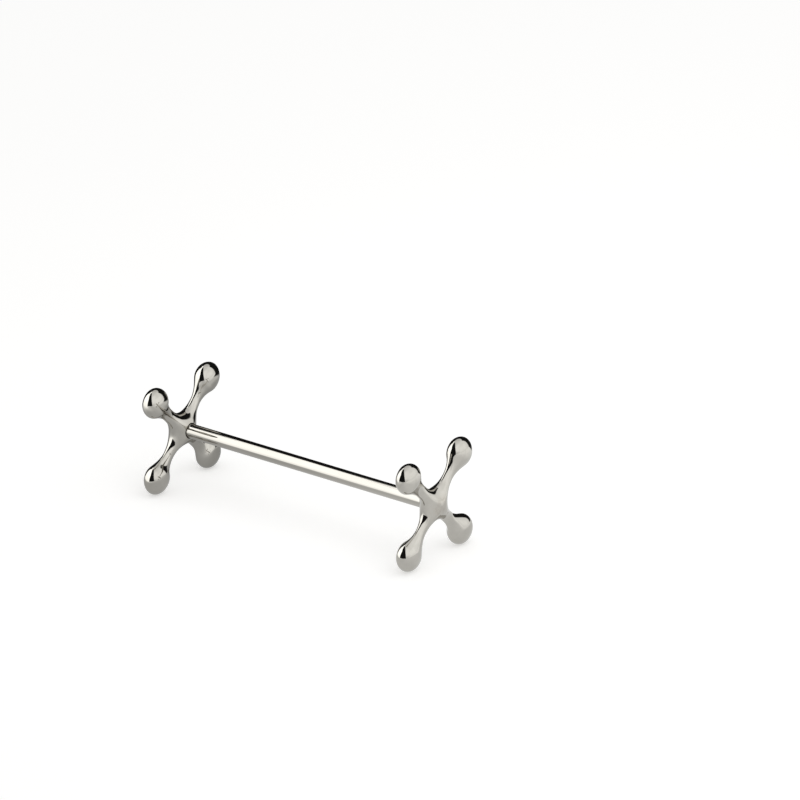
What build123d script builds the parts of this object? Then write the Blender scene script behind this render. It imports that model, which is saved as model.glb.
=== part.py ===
from build123d import *

import os
from math import cos, hypot, radians, sin, sqrt

os.makedirs("parts", exist_ok=True)

# ---------------------------------------------------------------- dimensions
# Bar-type knife rest, millimetres. +X runs along the bar to the near end,
# +Z is up, and the four feet stand on the plane z = 0.

centre_spacing = 73.0  # between the mid-planes of the two cross ends
bar_diameter = 3.4

# one arm of a cross end, measured from the centre of its hub
neck_reach = 6.8  # where the arm is slimmest
neck_half_width = 1.5
ball_reach = 13.25  # where the ball tip is widest
ball_half_width = 3.65
ball_end = 3.8  # from the widest place to the outermost point
flatness = 0.67  # thickness over width of the arms and the ball tips
neck_pull, ball_pull = 3.1, 1.75  # handles of the neck-to-ball curve

# the hub, where the four arms run together
crotch = 2.89  # the web between two arms ends here, along both arms
crotch_pull, web_pull = 1.37, 1.45  # handles of the web's outline
hub_outer = 2.42  # half thickness on the outer side
hub_inner = 3.0  # and on the side of the bar, where the hub is fuller
outer_bows = 0.36, 0.55  # handles of the section between two arms, edge and crest
inner_bows = 0.56, 0.44
round_bow = 0.5523  # handle length that makes a curve a quarter ellipse
hub_sections = 11

# joint between a cross end and the bar
socket_floor = 1.5  # from the cross end's mid-plane, on its inner side
socket_clearance = 0.2  # around the bar
stud_diameter = 2.0
stud_clearance = 0.02  # around the stud, in both holes
stud_in_end = 2.5
stud_in_bar = 6.0
bar_hole_spare = 0.5  # free depth beyond the stud in the bar
bar_edge_break = 0.12
stud_chamfer = 0.25

# ------------------------------------------------------- derived dimensions
arm_angle = 45.0
ball_drop = sqrt((ball_end * sin(radians(45))) ** 2 + (ball_half_width * cos(radians(45))) ** 2)
axis_height = ball_reach * sin(radians(arm_angle)) + ball_drop
near_x = centre_spacing / 2
far_x = -centre_spacing / 2
bar_half_length = centre_spacing / 2 - socket_floor
neck_half_thickness = flatness * neck_half_width

# directions of the upper arm on the +Y side: along it, across it, and through
# the thickness of the cross
along = Vector(0, cos(radians(arm_angle)), sin(radians(arm_angle)))
across = Vector(0, -sin(radians(arm_angle)), cos(radians(arm_angle)))
through = Vector(1, 0, 0)

arm_plane = Plane(origin=(0, 0, 0), x_dir=along, z_dir=through)


def bezier(p0, p1, p2, p3, t):
    """Point of a cubic curve in the plane of the cross."""
    a, b, c, d = (1 - t) ** 3, 3 * (1 - t) ** 2 * t, 3 * (1 - t) * t**2, t**3
    return (
        a * p0[0] + b * p1[0] + c * p2[0] + d * p3[0],
        a * p0[1] + b * p1[1] + c * p2[1] + d * p3[1],
    )


def web_point(t):
    """Outline of the web, from the bisector of two arms to the arm's neck."""
    return bezier(
        (crotch, crotch),
        (crotch + crotch_pull, crotch - crotch_pull),
        (neck_reach - web_pull, neck_half_width),
        (neck_reach, neck_half_width),
        t,
    )


def ridge_height(x, hub):
    """Half thickness on the arm's centre line, falling from hub to neck."""
    s = x / neck_reach
    return neck_half_thickness + (hub - neck_half_thickness) * (1 - s * s) ** 2


def ridge_slope(x, hub):
    """How fast that half thickness changes along the arm."""
    s = x / neck_reach
    return -4 * s * (1 - s * s) * (hub - neck_half_thickness) / neck_reach


# ------------------------------------------------------- one arm, neck to tip
# Turned shape about the arm's own axis, then flattened through the thickness.
with BuildPart() as turned_arm:
    with BuildSketch(Plane.XY) as arm_profile:
        with BuildLine() as arm_outline:
            flank = Bezier(
                (neck_reach, neck_half_width),
                (neck_reach + neck_pull, neck_half_width),
                (ball_reach - ball_pull, ball_half_width),
                (ball_reach, ball_half_width),
            )
            cap = EllipticalCenterArc(
                (ball_reach, 0), ball_end, ball_half_width, 90, arc_size=-90
            )
            Polyline(
                (ball_reach + ball_end, 0),
                (neck_reach, 0),
                (neck_reach, neck_half_width),
            )
        make_face()
    revolve(axis=Axis.X)

flat_arm = scale(turned_arm.part, by=(1, 1, flatness))

# ------------------------------------------------------------ the whole cross
# A sixteenth of the hub is lofted from rounded quarter sections that fan from
# the bisector of two arms to the arm's neck, once for the outer side and once for
# the fuller inner side. Each section leaves the arm's centre line at the slope that
# lies level across the arm, so the mirrored halves run into each other without an
# edge. Mirrored, the two make one arm's root. The outer side faces +X.
with BuildPart() as cross_blank:
    for side, hub, bows in ((1, hub_outer, outer_bows), (-1, hub_inner, inner_bows)):
        edge_bow, crest_bow = bows
        for i in range(hub_sections):
            t = i / (hub_sections - 1)
            edge = web_point(t)
            foot = neck_reach * t**1.5
            reach = hypot(edge[0] - foot, edge[1])
            outward = along * ((edge[0] - foot) / reach) + across * (edge[1] / reach)
            section = Plane(
                origin=along * foot, x_dir=outward, z_dir=outward.cross(through * side)
            )
            height = ridge_height(foot, hub)
            fall = ridge_slope(foot, hub) * (edge[0] - foot)
            to_neck = t * t * (3 - 2 * t)
            low_bow = edge_bow + (round_bow - edge_bow) * to_neck
            high_bow = crest_bow + (round_bow - crest_bow) * to_neck
            with BuildSketch(section):
                with BuildLine():
                    Line((0, 0), (reach, 0))
                    if i == hub_sections - 1:
                        EllipticalCenterArc((0, 0), reach, height, 0, arc_size=90)
                    else:
                        Bezier(
                            (reach, 0),
                            (reach, low_bow * (height + fall)),
                            (high_bow * reach, height + high_bow * fall),
                            (0, height),
                        )
                    Line((0, height), (0, 0))
                make_face()
        loft()
    mirror(about=Plane(origin=(0, 0, 0), x_dir=along, z_dir=across))
    add(arm_plane.location * flat_arm)
    mirror(about=Plane.XZ)
    mirror(about=Plane.XY)

# ------------------------------------------------------------------ near end
near_inner = Plane(
    origin=(near_x - hub_inner - 1, 0, axis_height),
    x_dir=(0, 1, 0),
    z_dir=(-1, 0, 0),
)
near_seat = Plane(
    origin=(near_x - socket_floor, 0, axis_height), x_dir=(0, 1, 0), z_dir=(-1, 0, 0)
)
with BuildPart() as near_cross_end:
    add(Location((near_x, 0, axis_height)) * cross_blank.part)
    with BuildSketch(near_inner):
        Circle(bar_diameter / 2 + socket_clearance)
    extrude(amount=-(hub_inner + 1 - socket_floor), mode=Mode.SUBTRACT)
    with BuildSketch(near_seat):
        Circle(stud_diameter / 2 + stud_clearance)
    extrude(amount=-stud_in_end, mode=Mode.SUBTRACT)
near_cross_end.part.label = "near_cross_end"
export_step(near_cross_end.part, "parts/near_cross_end.step")

# ------------------------------------------------------------------- far end
# The same casting, turned round.
far_inner = Plane(
    origin=(far_x + hub_inner + 1, 0, axis_height),
    x_dir=(0, 1, 0),
    z_dir=(1, 0, 0),
)
far_seat = Plane(
    origin=(far_x + socket_floor, 0, axis_height), x_dir=(0, 1, 0), z_dir=(1, 0, 0)
)
with BuildPart() as far_cross_end:
    add(Location((far_x, 0, axis_height), (0, 0, 180)) * cross_blank.part)
    with BuildSketch(far_inner):
        Circle(bar_diameter / 2 + socket_clearance)
    extrude(amount=-(hub_inner + 1 - socket_floor), mode=Mode.SUBTRACT)
    with BuildSketch(far_seat):
        Circle(stud_diameter / 2 + stud_clearance)
    extrude(amount=-stud_in_end, mode=Mode.SUBTRACT)
far_cross_end.part.label = "far_cross_end"
export_step(far_cross_end.part, "parts/far_cross_end.step")

# ----------------------------------------------------------------------- bar
# Plain round bar that stands in the two sockets, with a blind hole in each end.
with BuildPart() as rest_bar:
    with BuildSketch(Plane(origin=(-bar_half_length, 0, axis_height), x_dir=(0, 1, 0), z_dir=(1, 0, 0))):
        Circle(bar_diameter / 2)
    extrude(amount=2 * bar_half_length)
    bar_rims = rest_bar.edges().filter_by(GeomType.CIRCLE)
    chamfer(bar_rims, bar_edge_break)
    for side in (1, -1):
        end_plane = Plane(
            origin=(side * bar_half_length, 0, axis_height),
            x_dir=(0, 1, 0),
            z_dir=(side, 0, 0),
        )
        with BuildSketch(end_plane):
            Circle(stud_diameter / 2 + stud_clearance)
        extrude(amount=-(stud_in_bar + bar_hole_spare), mode=Mode.SUBTRACT)
rest_bar.part.label = "rest_bar"
export_step(rest_bar.part, "parts/rest_bar.step")

# --------------------------------------------------------------------- studs
# Headless studs, each screwed to the bottom of its hole in the cross end.
with BuildPart() as near_joining_stud:
    with BuildSketch(near_seat.offset(stud_in_bar)):
        Circle(stud_diameter / 2)
    extrude(amount=-(stud_in_bar + stud_in_end))
    chamfer(near_joining_stud.edges().filter_by(GeomType.CIRCLE), stud_chamfer)
near_joining_stud.part.label = "near_joining_stud"
export_step(near_joining_stud.part, "parts/near_joining_stud.step")

with BuildPart() as far_joining_stud:
    with BuildSketch(far_seat.offset(stud_in_bar)):
        Circle(stud_diameter / 2)
    extrude(amount=-(stud_in_bar + stud_in_end))
    chamfer(far_joining_stud.edges().filter_by(GeomType.CIRCLE), stud_chamfer)
far_joining_stud.part.label = "far_joining_stud"
export_step(far_joining_stud.part, "parts/far_joining_stud.step")

print("bar axis height", round(axis_height, 4))
print("bar top height", round(axis_height + bar_diameter / 2, 4))
print("cross end volume", round(near_cross_end.part.volume, 3))
print("whole length", round(centre_spacing + 2 * flatness * ball_half_width, 4))
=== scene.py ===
from math import cos, pi, radians, sin, sqrt

import bmesh
import bpy
import numpy as np
from mathutils import Matrix, Vector


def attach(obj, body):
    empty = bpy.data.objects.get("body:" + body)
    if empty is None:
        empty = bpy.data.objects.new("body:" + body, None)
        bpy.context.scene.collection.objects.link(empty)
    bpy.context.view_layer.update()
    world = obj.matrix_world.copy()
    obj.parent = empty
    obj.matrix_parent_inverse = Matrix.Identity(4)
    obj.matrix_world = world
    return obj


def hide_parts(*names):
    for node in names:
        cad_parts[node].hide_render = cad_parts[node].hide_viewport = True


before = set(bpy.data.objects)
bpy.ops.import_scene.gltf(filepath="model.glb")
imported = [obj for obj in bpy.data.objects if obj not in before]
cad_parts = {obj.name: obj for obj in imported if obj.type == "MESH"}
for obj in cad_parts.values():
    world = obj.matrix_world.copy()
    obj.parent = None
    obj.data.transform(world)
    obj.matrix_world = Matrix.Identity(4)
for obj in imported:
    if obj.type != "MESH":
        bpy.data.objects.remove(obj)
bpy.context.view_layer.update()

# ------------------------------------------------------------------ dimensions
# Millimetres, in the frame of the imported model: +X along the bar to the near end,
# +Z up, feet on z = 0. Meshes are turned into metres when they are made.
MM = 0.001
CENTRE_SPACING = 73.0
BAR_RADIUS = 1.7

NECK_REACH, NECK_HALF_WIDTH = 6.8, 1.5
BALL_REACH, BALL_HALF_WIDTH, BALL_END = 13.25, 3.65, 3.8
FLATNESS, NECK_FLATNESS = 0.67, 0.69
NECK_PULL, BALL_PULL = 3.1, 1.75
# the same curve through the thickness, on the outer side and on the side of the bar, where
# the neck runs into the ball more sharply
DEEP_OUTER, DEEP_INNER = (3.35, 1.35), (5.3, 3.6)
CROTCH, CROTCH_PULL, WEB_PULL = 2.89, 1.37, 1.45
# half thickness of the hub, and handles of its section between two arms (edge and crest),
# on the outer side and on the fuller side of the bar
HUB_OUTER, HUB_INNER = (2.42, 0.36, 0.55), (3.0, 0.56, 0.44)
NECK_BOW, BALL_BOW = 0.49, 0.578  # the same handles at the neck and the ball

SOCKET_FLOOR = 1.5
SOCKET_RADIUS = BAR_RADIUS + 0.15
SOCKET_LIP = 0.05
HOLE_RADIUS = 1.02
HOLE_IN_END = 2.5
HOLE_IN_BAR = 6.5
BAR_EDGE = 0.12

NECK_HALF_THICKNESS = NECK_FLATNESS * NECK_HALF_WIDTH
AXIS_HEIGHT = BALL_REACH * sqrt(0.5) + sqrt(0.5) * sqrt(BALL_END**2 + BALL_HALF_WIDTH**2)
BAR_HALF_LENGTH = CENTRE_SPACING / 2 - SOCKET_FLOOR
RIM = SOCKET_RADIUS + SOCKET_LIP


# ------------------------------------------------------- surface of a cross end
def cubic(points, t):
    """Points of a cubic curve in a plane."""
    p = np.array(points, float)
    t = np.asarray(t, float)[:, None]
    return (1 - t) ** 3 * p[0] + 3 * (1 - t) ** 2 * t * p[1] + 3 * (1 - t) * t**2 * p[2] + t**3 * p[3]


def web_lines(t, hub):
    """Edge of the web, centre line of the arm above it, and the fall of that line."""
    edge = cubic(
        [
            (CROTCH, CROTCH),
            (CROTCH + CROTCH_PULL, CROTCH - CROTCH_PULL),
            (NECK_REACH - WEB_PULL, NECK_HALF_WIDTH),
            (NECK_REACH, NECK_HALF_WIDTH),
        ],
        t,
    )
    s = np.asarray(t, float) ** 1.5
    rise = hub[0] - NECK_HALF_THICKNESS
    ridge = np.stack([NECK_REACH * s, NECK_HALF_THICKNESS + rise * (1 - s * s) ** 2], 1)
    return edge, ridge, -4 * s * (1 - s * s) * rise / NECK_REACH


def section(tau, edge_bow, crest_bow):
    """A rounded quarter section: how far out, and its height for a unit height and a unit fall."""
    a, b, c, d = (1 - tau) ** 3, 3 * (1 - tau) ** 2 * tau, 3 * (1 - tau) * tau**2, tau**3
    return a + b + crest_bow * c, edge_bow * b + c + d, edge_bow * b + crest_bow * c


def section_at(out, crest_bow):
    """The place on the quarter section that is this far out."""
    lo, hi = np.zeros_like(out), np.ones_like(out)
    for _ in range(48):
        mid = (lo + hi) / 2
        farther = section(mid, 0.0, crest_bow)[0] > out
        lo, hi = np.where(farther, mid, lo), np.where(farther, hi, mid)
    return (lo + hi) / 2


def ramp(lo, hi, x):
    """Smooth step from 0 at lo to 1 at hi."""
    u = np.clip((x - lo) / (hi - lo), 0, 1)
    return u * u * (3 - 2 * u)


def rounded(edge, ridge, slope, rows, spreads, windows):
    """Eases the jumps of curvature at some rows, as polishing does."""
    s = np.concatenate([[0], np.cumsum(np.hypot(*np.diff(edge, axis=0).T))])
    spread = np.zeros_like(s)
    for row, most, window in zip(rows, spreads, windows):
        u = np.clip(1 - np.abs(s - s[row]) / window, 0, 1)
        spread = np.maximum(spread, most * u * u * (3 - 2 * u))
    step = np.gradient(s)
    soft = spread > 0.02
    w = np.exp(-0.5 * ((s[None, :] - s[soft, None]) / spread[soft, None]) ** 2) * step
    w /= w.sum(1, keepdims=True)
    for line in (edge, ridge):
        line[soft] = w @ line
    slope[soft] = w @ slope
    return edge, ridge, slope


def arm_rows(hub, deep_pulls, fine=16, rim_rows=16, web_rows=26, neck_rows=46, cap_rows=26):
    """Edge and centre line of one arm, from the bisector at the hub to the tip."""
    t_rim = (RIM / NECK_REACH) ** (2 / 3)
    t = np.concatenate(
        [
            np.linspace(0, t_rim, rim_rows * fine + 1),
            np.linspace(t_rim, 1, web_rows * fine + 1)[1:],
        ]
    )
    edge, ridge, slope = web_lines(t, hub)
    flank = cubic(
        [
            (NECK_REACH, NECK_HALF_WIDTH),
            (NECK_REACH + NECK_PULL, NECK_HALF_WIDTH),
            (BALL_REACH - BALL_PULL, BALL_HALF_WIDTH),
            (BALL_REACH, BALL_HALF_WIDTH),
        ],
        np.linspace(0, 1, neck_rows * fine + 1)[1:],
    )
    a = np.linspace(0, pi / 2, cap_rows * fine + 1)[1:]
    cap = np.stack([BALL_REACH + BALL_END * np.sin(a), BALL_HALF_WIDTH * np.cos(a)], 1)
    cap[-1, 1] = 0
    deep = cubic(
        [
            (NECK_REACH, NECK_HALF_THICKNESS),
            (NECK_REACH + deep_pulls[0], NECK_HALF_THICKNESS),
            (BALL_REACH - deep_pulls[1], FLATNESS * BALL_HALF_WIDTH),
            (BALL_REACH, FLATNESS * BALL_HALF_WIDTH),
        ],
        np.linspace(0, 1, 900),
    )
    outer = np.concatenate([flank, cap])
    edge = np.concatenate([edge, outer])
    thick = np.concatenate([np.interp(flank[:, 0], deep[:, 0], deep[:, 1]), FLATNESS * cap[:, 1]])
    ridge = np.concatenate([ridge, np.stack([outer[:, 0], thick], 1)])
    slope = np.concatenate([slope, np.zeros(len(outer))])
    neck = (rim_rows + web_rows) * fine
    ball = neck + neck_rows * fine
    edge, ridge, slope = rounded(edge, ridge, slope, [neck, ball], [0.5, 0.6], [2.2, 2.6])
    to_neck, to_ball = ramp(0, 1, t), ramp(0, 1, np.linspace(0, 1, len(flank)))
    last = np.full(len(cap), BALL_BOW)
    rest = [NECK_BOW + (BALL_BOW - NECK_BOW) * to_ball, last]
    edge_bow = np.concatenate([hub[1] + (NECK_BOW - hub[1]) * to_neck] + rest)
    crest_bow = np.concatenate([hub[2] + (NECK_BOW - hub[2]) * to_neck] + rest)
    return [line[::fine] for line in (edge, ridge, slope, edge_bow, crest_bow)], rim_rows


def arm_patch(hub, deep_pulls, socket, columns=22):
    """A sixteenth of the cross, edge to centre line; with a socket it stays open inside the rim."""
    (edge, ridge, slope, edge_bow, crest_bow), rim_rows = arm_rows(hub, deep_pulls)
    across = edge[:, 0] - ridge[:, 0]
    start = np.ones(len(edge))
    if socket:
        rows = np.arange(rim_rows)
        # where each section crosses the rim's circle
        a = across[rows] ** 2 + edge[rows, 1] ** 2
        b = ridge[rows, 0] * across[rows]
        c = ridge[rows, 0] ** 2 - RIM**2
        start[rows] = section_at((-b + np.sqrt(b * b - a * c)) / a, crest_bow[rows])
    tau = start[:, None] * np.linspace(0, 1, columns + 1)[None, :]
    out, unit, fall = section(tau, edge_bow[:, None], crest_bow[:, None])
    x = ridge[:, :1] + across[:, None] * out
    y = edge[:, 1:] * out
    n = ridge[:, 1:] * unit + (slope * across)[:, None] * fall
    return np.stack([x, y, n], -1), rim_rows


def quads(grid_shape, first):
    """Faces of a grid of points that starts at a given point."""
    i, j = np.meshgrid(np.arange(grid_shape[0] - 1), np.arange(grid_shape[1] - 1), indexing="ij")
    a = first + i * grid_shape[1] + j
    return np.stack([a, a + grid_shape[1], a + grid_shape[1] + 1, a + 1], -1).reshape(-1, 4)


def closed_mesh(name, grids, wave=None, sharp=38.0):
    """One closed mesh from grids of points in millimetres that share their borders."""
    points, faces, first = [], [], 0
    for g in grids:
        points.append(g.reshape(-1, 3))
        faces.append(quads(g.shape[:2], first))
        first += g.shape[0] * g.shape[1]
    points, faces = np.concatenate(points), np.concatenate(faces)
    bm = bmesh.new()
    verts = [bm.verts.new(p * MM) for p in points]
    for f in faces:
        bm.faces.new([verts[k] for k in f])
    bmesh.ops.remove_doubles(bm, verts=bm.verts, dist=1e-7)
    bmesh.ops.dissolve_degenerate(bm, dist=1e-8, edges=bm.edges)
    bmesh.ops.recalc_face_normals(bm, faces=bm.faces)
    open_edges = sum(len(e.link_faces) != 2 for e in bm.edges)
    print(name, "faces", len(bm.faces), "open edges", open_edges, "volume mm3", round(bm.calc_volume() * 1e9, 2))
    if wave:
        bm.normal_update()
        co = np.array([v.co for v in bm.verts]) / MM
        move = wave(co)
        for v, d in zip(bm.verts, move):
            v.co += v.normal * float(d) * MM
    mesh = bpy.data.meshes.new(name)
    bm.to_mesh(mesh)
    bm.free()
    mesh.shade_smooth()
    mesh.set_sharp_from_angle(angle=radians(sharp))
    ob = bpy.data.objects.new(name, mesh)
    bpy.context.collection.objects.link(ob)
    return ob


def hand_wave(seed, lengths, sizes, count=5):
    """Slow swells of a hand-finished surface, as a move along the surface's normal."""
    rng = np.random.default_rng(seed)
    terms = []
    for length, size in zip(lengths, sizes):
        for _ in range(count):
            d = rng.normal(size=3)
            d /= np.linalg.norm(d)
            terms.append((d * 2 * pi / (length * rng.uniform(0.8, 1.25)), rng.uniform(0, 2 * pi), size / sqrt(count)))
    return lambda co: sum(a * np.sin(co @ k + p) for k, p, a in terms)


def cross_end(name, side, seed):
    """Four-armed casting. side is 1 at the near end of the bar and -1 at the far end."""
    face, _ = arm_patch(HUB_OUTER, DEEP_OUTER, False)
    patch, rim_rows = arm_patch(HUB_INNER, DEEP_INNER, True)
    rim = patch[: rim_rows + 1, -1]  # from the bisector to the centre line
    turn = np.arctan2(rim[:, 1], rim[:, 0])
    ring_x, ring_y = np.cos(turn), np.sin(turn)

    # socket and blind hole in the inner face
    top = rim[:, 2]
    steps = [
        (RIM - 0.4 * SOCKET_LIP, top - 0.15 * SOCKET_LIP),
        (RIM - 0.75 * SOCKET_LIP, top - 0.4 * SOCKET_LIP),
        (SOCKET_RADIUS, top - SOCKET_LIP),
        (SOCKET_RADIUS, np.full(len(top), SOCKET_FLOOR)),
        (HOLE_RADIUS, np.full(len(top), SOCKET_FLOOR)),
        (HOLE_RADIUS, np.full(len(top), SOCKET_FLOOR - HOLE_IN_END)),
        (0.0, np.full(len(top), SOCKET_FLOOR - HOLE_IN_END)),
    ]
    socket = np.array([rim] + [np.stack([r * ring_x, r * ring_y, n], -1) for r, n in steps])

    grids = []
    for arm in range(4):
        th = radians(45 + 90 * arm)
        for sy in (1, -1):

            def placed(g, sn):
                x, y, n = g[..., 0], g[..., 1] * sy, g[..., 2] * sn
                return np.stack(
                    [
                        side * (CENTRE_SPACING / 2 + n),
                        side * (x * cos(th) - y * sin(th)),
                        AXIS_HEIGHT + x * sin(th) + y * cos(th),
                    ],
                    -1,
                )

            grids += [placed(face, 1), placed(patch, -1), placed(socket, -1)]

    swell = hand_wave(seed, [7.0, 3.2], [0.016, 0.007])
    x_in = side * (CENTRE_SPACING / 2)

    def wave(co):
        # calm at the socket, and nothing below the feet or outside the tips
        r = np.hypot(co[:, 1], co[:, 2] - AXIS_HEIGHT)
        out = (co[:, 0] - x_in) * side
        calm = np.where(out < 0, np.clip((r - RIM) / 1.2, 0, 1), 1.0)
        reach = np.maximum(np.abs(co[:, 1]), np.abs(co[:, 2] - AXIS_HEIGHT))
        calm *= np.clip((AXIS_HEIGHT - reach) / 0.5, 0, 1)
        calm *= np.clip((FLATNESS * BALL_HALF_WIDTH - out) / 0.12, 0, 1)
        return swell(co) * calm

    ob = closed_mesh(name, grids, wave)
    return ob


def turned_bar(name):
    """Round bar with broken end edges and a blind hole in each end."""
    end = BAR_HALF_LENGTH
    half = [
        (end - HOLE_IN_BAR, 0.0),
        (end - HOLE_IN_BAR, HOLE_RADIUS),
        (end, HOLE_RADIUS),
        (end, BAR_RADIUS - BAR_EDGE),
    ]
    edge = [
        (end - BAR_EDGE * (1 - cos(a)) / 1.0, BAR_RADIUS - BAR_EDGE + BAR_EDGE * sin(a))
        for a in np.linspace(0, pi / 2, 5)[1:]
    ]
    run = [(x, BAR_RADIUS) for x in np.linspace(edge[-1][0], -edge[-1][0], 181)[1:-1]]
    profile = half + edge + run + [(-x, r) for x, r in reversed(half + edge)]
    a = np.linspace(0, 2 * pi, 129)
    a[-1] = 0
    x = np.array([p[0] for p in profile])[:, None] + 0 * a
    r = np.array([p[1] for p in profile])[:, None]
    grid = np.stack([x, r * np.cos(a), AXIS_HEIGHT + r * np.sin(a)], -1)
    swell = hand_wave(21, [30.0, 11.0], [0.004, 0.0012], 4)

    def wave(co):
        r = np.hypot(co[:, 1], co[:, 2] - AXIS_HEIGHT)
        return (swell(co) - 0.006) * (r > BAR_RADIUS - 0.5 * BAR_EDGE) * np.clip((end - np.abs(co[:, 0])) / 4, 0, 1)

    return closed_mesh(name, [grid], wave)


# --------------------------------------------------------------------- materials
def new_material(name):
    m = bpy.data.materials.new(name)
    m.use_nodes = True
    nt = m.node_tree
    shader = nt.nodes["Principled BSDF"]
    return m, nt, shader


def add(nt, kind, **values):
    node = nt.nodes.new(kind)
    for key, value in values.items():
        setattr(node, key, value)
    return node


def noise(nt, vector, scale, detail=3.0, rough=0.55, distortion=0.0):
    node = add(nt, "ShaderNodeTexNoise")
    node.inputs["Scale"].default_value = scale
    node.inputs["Detail"].default_value = detail
    node.inputs["Roughness"].default_value = rough
    node.inputs["Distortion"].default_value = distortion
    nt.links.new(vector, node.inputs["Vector"])
    return node.outputs["Fac"]


def stretched(nt, vector, scale):
    node = add(nt, "ShaderNodeMapping", vector_type="POINT")
    node.inputs["Scale"].default_value = scale
    nt.links.new(vector, node.inputs["Vector"])
    return node.outputs["Vector"]


def spread(nt, value, lo, hi, to_lo, to_hi):
    node = add(nt, "ShaderNodeMapRange", clamp=True)
    for key, v in (("From Min", lo), ("From Max", hi), ("To Min", to_lo), ("To Max", to_hi)):
        node.inputs[key].default_value = v
    nt.links.new(value, node.inputs["Value"])
    return node.outputs["Result"]


def math(nt, operation, a, b):
    node = add(nt, "ShaderNodeMath", operation=operation)
    for socket, v in zip(node.inputs, (a, b)):
        if isinstance(v, (int, float)):
            socket.default_value = v
        else:
            nt.links.new(v, socket)
    return node.outputs["Value"]


def blend_colour(nt, fac, a, b):
    node = add(nt, "ShaderNodeMix", data_type="RGBA")
    fac_in, a_in, b_in = node.inputs[0], node.inputs[6], node.inputs[7]
    nt.links.new(fac, fac_in)
    for socket, v in ((a_in, a), (b_in, b)):
        if isinstance(v, tuple):
            socket.default_value = v
        else:
            nt.links.new(v, socket)
    return node.outputs[2]


def bump(nt, height, strength, distance, normal=None):
    node = add(nt, "ShaderNodeBump")
    node.inputs["Strength"].default_value = strength
    node.inputs["Distance"].default_value = distance
    nt.links.new(height, node.inputs["Height"])
    if normal:
        nt.links.new(normal, node.inputs["Normal"])
    return node.outputs["Normal"]


def off_axis(nt, vector):
    """Distance from the bar's axis, in metres."""
    sep = add(nt, "ShaderNodeSeparateXYZ")
    nt.links.new(vector, sep.inputs["Vector"])
    z = math(nt, "SUBTRACT", sep.outputs["Z"], AXIS_HEIGHT * MM)
    squares = math(nt, "ADD", math(nt, "MULTIPLY", sep.outputs["Y"], sep.outputs["Y"]), math(nt, "MULTIPLY", z, z))
    return math(nt, "SQRT", squares, 0.0), sep


def plated_casting():
    m, nt, shader = new_material("plated_casting")
    vector = add(nt, "ShaderNodeTexCoord").outputs["Object"]
    cloud = noise(nt, vector, 260.0, 4.0, 0.6)
    colour = blend_colour(
        nt, spread(nt, cloud, 0.35, 0.7, 0.0, 1.0), (0.488, 0.468, 0.428, 1), (0.446, 0.427, 0.389, 1)
    )
    radius, _ = off_axis(nt, vector)
    near_joint = spread(nt, radius, 0.0019, 0.0031, 1.0, 0.0)
    stain = math(nt, "MULTIPLY", near_joint, spread(nt, noise(nt, vector, 700.0, 5.0, 0.65), 0.35, 0.7, 0.1, 0.5))
    colour = blend_colour(nt, stain, colour, (0.36, 0.325, 0.275, 1))
    shader.inputs["Metallic"].default_value = 1.0
    nt.links.new(colour, shader.inputs["Base Color"])
    scratches = noise(nt, stretched(nt, vector, (700.0, 9000.0, 900.0)), 1.0, 4.0, 0.7, 0.4)
    rough = math(nt, "ADD", spread(nt, cloud, 0.3, 0.75, 0.035, 0.075), spread(nt, scratches, 0.5, 0.8, 0.0, 0.05))
    nt.links.new(rough, shader.inputs["Roughness"])
    fine = bump(nt, scratches, 0.04, 0.00002)
    soft = bump(nt, noise(nt, vector, 1500.0, 2.0, 0.5), 0.05, 0.00003, fine)
    nt.links.new(soft, shader.inputs["Normal"])
    return m


def plated_bar():
    m, nt, shader = new_material("plated_bar")
    vector = add(nt, "ShaderNodeTexCoord").outputs["Object"]
    cloud = noise(nt, stretched(nt, vector, (60.0, 400.0, 400.0)), 1.0, 3.0, 0.55)
    # painted shade: base colour about 5 per cent darker than the casting's, standing in for the shaded floor the bar
    # reflects
    colour = blend_colour(
        nt, spread(nt, cloud, 0.35, 0.7, 0.0, 1.0), (0.462, 0.442, 0.405, 1), (0.424, 0.405, 0.369, 1)
    )
    shader.inputs["Metallic"].default_value = 1.0
    nt.links.new(colour, shader.inputs["Base Color"])
    drawn = noise(nt, stretched(nt, vector, (40.0, 7000.0, 7000.0)), 1.0, 4.0, 0.65)
    rough = math(nt, "ADD", spread(nt, cloud, 0.3, 0.75, 0.03, 0.06), spread(nt, drawn, 0.5, 0.8, 0.0, 0.05))
    nt.links.new(rough, shader.inputs["Roughness"])
    nt.links.new(bump(nt, drawn, 0.05, 0.00002), shader.inputs["Normal"])
    return m


def stud_steel():
    m, nt, shader = new_material("stud_steel")
    vector = add(nt, "ShaderNodeTexCoord").outputs["Object"]
    cloud = noise(nt, vector, 900.0, 4.0, 0.6)
    colour = blend_colour(
        nt, spread(nt, cloud, 0.35, 0.7, 0.0, 1.0), (0.42, 0.42, 0.41, 1), (0.34, 0.33, 0.32, 1)
    )
    shader.inputs["Metallic"].default_value = 1.0
    nt.links.new(colour, shader.inputs["Base Color"])
    nt.links.new(spread(nt, cloud, 0.3, 0.75, 0.25, 0.4), shader.inputs["Roughness"])
    wave = add(nt, "ShaderNodeTexWave", wave_type="BANDS", bands_direction="X", wave_profile="TRI")
    wave.inputs["Scale"].default_value = 785.0
    nt.links.new(vector, wave.inputs["Vector"])
    nt.links.new(bump(nt, wave.outputs["Fac"], 0.6, 0.0002), shader.inputs["Normal"])
    return m


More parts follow.
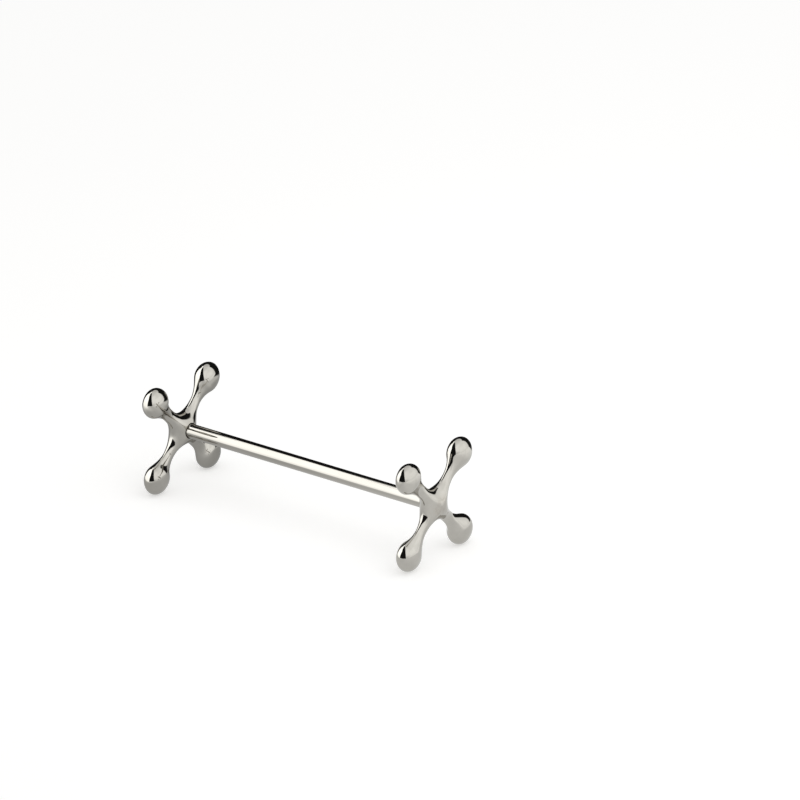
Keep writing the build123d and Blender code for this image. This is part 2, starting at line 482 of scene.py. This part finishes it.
def floor_material():
    m, nt, shader = new_material("pale_floor")
    vector = add(nt, "ShaderNodeTexCoord").outputs["Object"]
    cloud = noise(nt, vector, 3.0, 3.0, 0.5)
    colour = blend_colour(
        nt, spread(nt, cloud, 0.3, 0.7, 0.0, 1.0), (0.90, 0.897, 0.890, 1), (0.885, 0.882, 0.874, 1)
    )
    nt.links.new(colour, shader.inputs["Base Color"])
    shader.inputs["Roughness"].default_value = 0.95
    shader.inputs["Specular IOR Level"].default_value = 0.0
    shader.inputs["Emission Color"].default_value = (0.9, 0.898, 0.893, 1)
    shader.inputs["Emission Strength"].default_value = 0.45
    return m


# ------------------------------------------------------------------------ pieces
casting, bar_finish, stud_finish = plated_casting(), plated_bar(), stud_steel()

for node, side, seed in (("near_cross_end", 1, 4), ("far_cross_end", -1, 9)):
    piece = cross_end(node + "_casting", side, seed)
    piece.data.materials.append(casting)
    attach(piece, "root")
    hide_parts(node)

bar = turned_bar("rest_bar_turned")
bar.data.materials.append(bar_finish)
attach(bar, "root")
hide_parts("rest_bar")

for node in ("near_joining_stud", "far_joining_stud"):
    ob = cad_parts[node]
    for slot in ob.material_slots:
        slot.material = stud_finish

# ------------------------------------------------------------ camera and studio
# The camera stands to the right of the bar's middle and looks down on it.
FOCUS = 10224.5  # distance in image pixels, for an image 800 pixels wide
SCALE = 320.2767 / CENTRE_SPACING  # image pixels per millimetre
right = Vector((0.79352416, 0.60848667, -0.00796154))
up = Vector((-0.23385814, 0.31699933, 0.91914188))
ahead = Vector((-0.56180938, 0.72749942, -0.39384619))
place = Vector((0, 0, AXIS_HEIGHT)) + (right * (400 - 306.926) + up * (465.7743 - 400) - ahead * FOCUS) / SCALE

cam = bpy.data.cameras.new("camera")
cam.sensor_width = 36.0
cam.lens = 36.0 * FOCUS / 800
cam.clip_start, cam.clip_end = 0.1, 20.0
camera = bpy.data.objects.new("camera", cam)
turn = Matrix((right, up, -ahead)).transposed().to_4x4()
camera.matrix_world = Matrix.Translation(place * MM) @ turn
bpy.context.collection.objects.link(camera)
bpy.context.scene.camera = camera

# Directions in the studio: straight away from the camera, and to its right.
away = Vector((-sin(radians(37.677)), cos(radians(37.677)), 0))
aside = Vector((cos(radians(37.677)), sin(radians(37.677)), 0))


def flat_card(name, corners):
    mesh = bpy.data.meshes.new(name)
    mesh.from_pydata([tuple(c) for c in corners], [], [(0, 1, 2, 3)])
    ob = bpy.data.objects.new(name, mesh)
    bpy.context.collection.objects.link(ob)
    return ob


def glowing_sheet(name, grid, strength, diffuse):
    """A sheet that gives light of its own, with a strength for each of its points."""
    rows, columns = grid.shape[:2]
    mesh = bpy.data.meshes.new(name)
    mesh.from_pydata([tuple(p * MM) for p in grid.reshape(-1, 3)], [], [tuple(map(int, f)) for f in quads((rows, columns), 0)])
    glow = mesh.attributes.new("glow", "FLOAT", "POINT")
    glow.data.foreach_set("value", strength.reshape(-1).astype(np.float32))
    m = bpy.data.materials.new(name)
    m.use_nodes = True
    nt = m.node_tree
    nt.nodes.remove(nt.nodes["Principled BSDF"])
    light = add(nt, "ShaderNodeEmission")
    light.inputs["Color"].default_value = (0.985, 0.997, 1.0, 1)
    nt.links.new(add(nt, "ShaderNodeAttribute", attribute_name="glow").outputs["Fac"], light.inputs["Strength"])
    nt.links.new(light.outputs["Emission"], nt.nodes["Material Output"].inputs["Surface"])
    mesh.materials.append(m)
    ob = bpy.data.objects.new(name, mesh)
    bpy.context.collection.objects.link(ob)
    ob.visible_camera = False
    ob.visible_shadow = False
    ob.visible_diffuse = diffuse
    return ob


# A tent of white diffuser stands around the object, open behind it and at the front
# left, where the dark room shows. Azimuth is measured to the right of straight away
# from the camera, elevation from the horizon, both in degrees.
TENT_RADIUS = 300.0


def tent_strength(az, el):
    low = 0.90 + 0.37 * ramp(40, 70, az) * ramp(155, 125, az)
    tone = low + (1.34 - low) * ramp(-4, 16, el) - 0.24 * ramp(45, 84, el)
    tone *= 1 + 0.11 * ramp(78, 95, az) * ramp(140, 122, az) * ramp(-2, 6, el) * ramp(36, 22, el)
    tone *= 1 + 0.10 * ramp(115, 150, az) * ramp(0, 25, el) * (1 - ramp(55, 75, el))
    behind = ramp(78, 25, np.abs(az - 8)) * (1 - ramp(66, 84, el))
    tone *= 1 - 0.25 * behind
    # openings
    top = np.interp(az, [-40, -30, -18, 0, 70], [56, 56, 53, 50, 50])
    back = ramp(-62, -58, az) * ramp(70, 66, az) * ramp(1.5, -1.5, el - top)
    round_az = np.mod(az, 360)
    limit = np.interp(
        round_az,
        [160, 163, 168, 176, 188, 204, 225, 250, 285, 305, 318, 330],
        [-8, 0, 22, 44, 60, 70, 76, 78, 76, 72, 64, 54],
    )
    front = ramp(160, 162, round_az) * ramp(332, 328, round_az) * ramp(1.5, -1.5, el - limit)
    tone *= 1 - np.maximum(back, front)
    # a bright strip over the back left, next to the card's top
    strip = ramp(-74, -68, az) * ramp(-36, -40, az) * ramp(50, 52, el) * ramp(65, 63, el)
    return np.maximum(tone, np.maximum(2.3 * strip, 0.012))


az, el = np.meshgrid(np.arange(-180, 181, 1.0), np.arange(-4, 90.5, 1.0), indexing="ij")
ca, sa, ce, se = np.cos(np.radians(az)), np.sin(np.radians(az)), np.cos(np.radians(el)), np.sin(np.radians(el))
dirs = (ce * ca)[..., None] * np.array(away) + (ce * sa)[..., None] * np.array(aside) + se[..., None] * np.array([0, 0, 1.0])
glowing_sheet("diffuser_tent", TENT_RADIUS * dirs + [0, 0, AXIS_HEIGHT], tent_strength(az, el), False)

# A bright card stands close on the left, higher at the back.
u, w = np.meshgrid(np.linspace(0, 1, 60), np.linspace(0, 1, 60), indexing="ij")
back_run = -90 + 170 * u
rise = (135 + 124 * u) * w
card = back_run[..., None] * np.array(away) - 120.0 * np.array(aside) + rise[..., None] * np.array([0, 0, 1.0])
edge_fade = ramp(0, 0.03, u) * ramp(1, 0.97, u) * ramp(1, 0.97, w)
glowing_sheet("left_card", card, np.maximum((2.05 + 0.38 * ramp(4, 60, rise)) * edge_fade, 0.012), False)

# A glowing sheet that only the metal sees paints the floor's reflection, with painted shade: dim under
# the object, bright at the card's foot and far to the right, and dark where it ends behind the object.
steps = np.concatenate([np.arange(-300, -60, 6.0), np.arange(-60, 60, 1.5), np.arange(60, 301, 6.0)])
back_run, right_run = np.meshgrid(steps, steps, indexing="ij")
ground = back_run[..., None] * np.array(away) + right_run[..., None] * np.array(aside) + np.array([0, 0, 0.1])
far_off, az = np.hypot(back_run, right_run), np.degrees(np.arctan2(right_run, back_run))
# painted shade: the floor's reflection is darker under and to the left of the object
tone = np.interp(right_run, [-40, -20, 5, 30, 62, 85, 125, 200], [0.63, 0.68, 0.85, 0.87, 0.90, 1.04, 1.20, 1.24])
tone *= 1 - 0.4 * ramp(10, 40, back_run) * ramp(40, 10, right_run)
tone *= 1 + 0.09 * ramp(-20, -34, back_run) * ramp(12, 40, right_run)
tone *= 1 + 0.14 * ramp(-32, -8, back_run) * ramp(52, 75, right_run)
tone += 0.4 * ramp(2, -34, back_run) * ramp(2, -45, right_run)
tone += 1.0 * ramp(-45, -112, right_run) * ramp(-90, -56, back_run) * ramp(80, 46, back_run)
tone *= 1 - ramp(72, 100, far_off) * ramp(-60, -56, az) * ramp(69, 66, az)
# painted contact shadow: the floor's reflection darkens round each foot
for x in (-CENTRE_SPACING / 2, CENTRE_SPACING / 2):
    for y in (-BALL_REACH * sqrt(0.5), BALL_REACH * sqrt(0.5)):
        tone *= 1 - 0.12 * np.exp(-((ground[..., 0] - x) ** 2 + (ground[..., 1] - y) ** 2) / 2.5**2)
glowing_sheet("painted_floor_reflection", ground, np.maximum(tone, 0.012), False)

# Light that falls on the floor from the right.
lamp = bpy.data.lights.new("right_lamp", "AREA")
lamp.shape, lamp.size, lamp.energy = "DISK", 0.3, 0.12
right_lamp = bpy.data.objects.new("right_lamp", lamp)
right_lamp.location = aside * 0.14 - away * 0.03 + Vector((0, 0, 0.25))
right_lamp.visible_camera = right_lamp.visible_glossy = False
bpy.context.collection.objects.link(right_lamp)

floor = flat_card("floor", [Vector((x, y, 0)) for x, y in ((-3, -3), (3, -3), (3, 3), (-3, 3))])
floor.data.materials.append(floor_material())

# Soft light from all round on the floor; the metal sees only the tent, the card and the painted floor reflection.
world = bpy.data.worlds.new("studio")
world.use_nodes = True
bpy.context.scene.world = world
nt = world.node_tree
back = nt.nodes["Background"]
path = add(nt, "ShaderNodeLightPath")
soft = spread(nt, path.outputs["Is Diffuse Ray"], 0.0, 1.0, 0.015, 0.62)
tone = math(nt, "ADD", soft, spread(nt, path.outputs["Is Camera Ray"], 0.0, 1.0, 0.0, 0.9))
nt.links.new(tone, back.inputs["Strength"])
back.inputs["Color"].default_value = (1, 1, 1, 1)
bpy.context.scene.view_settings.view_transform = "Standard"
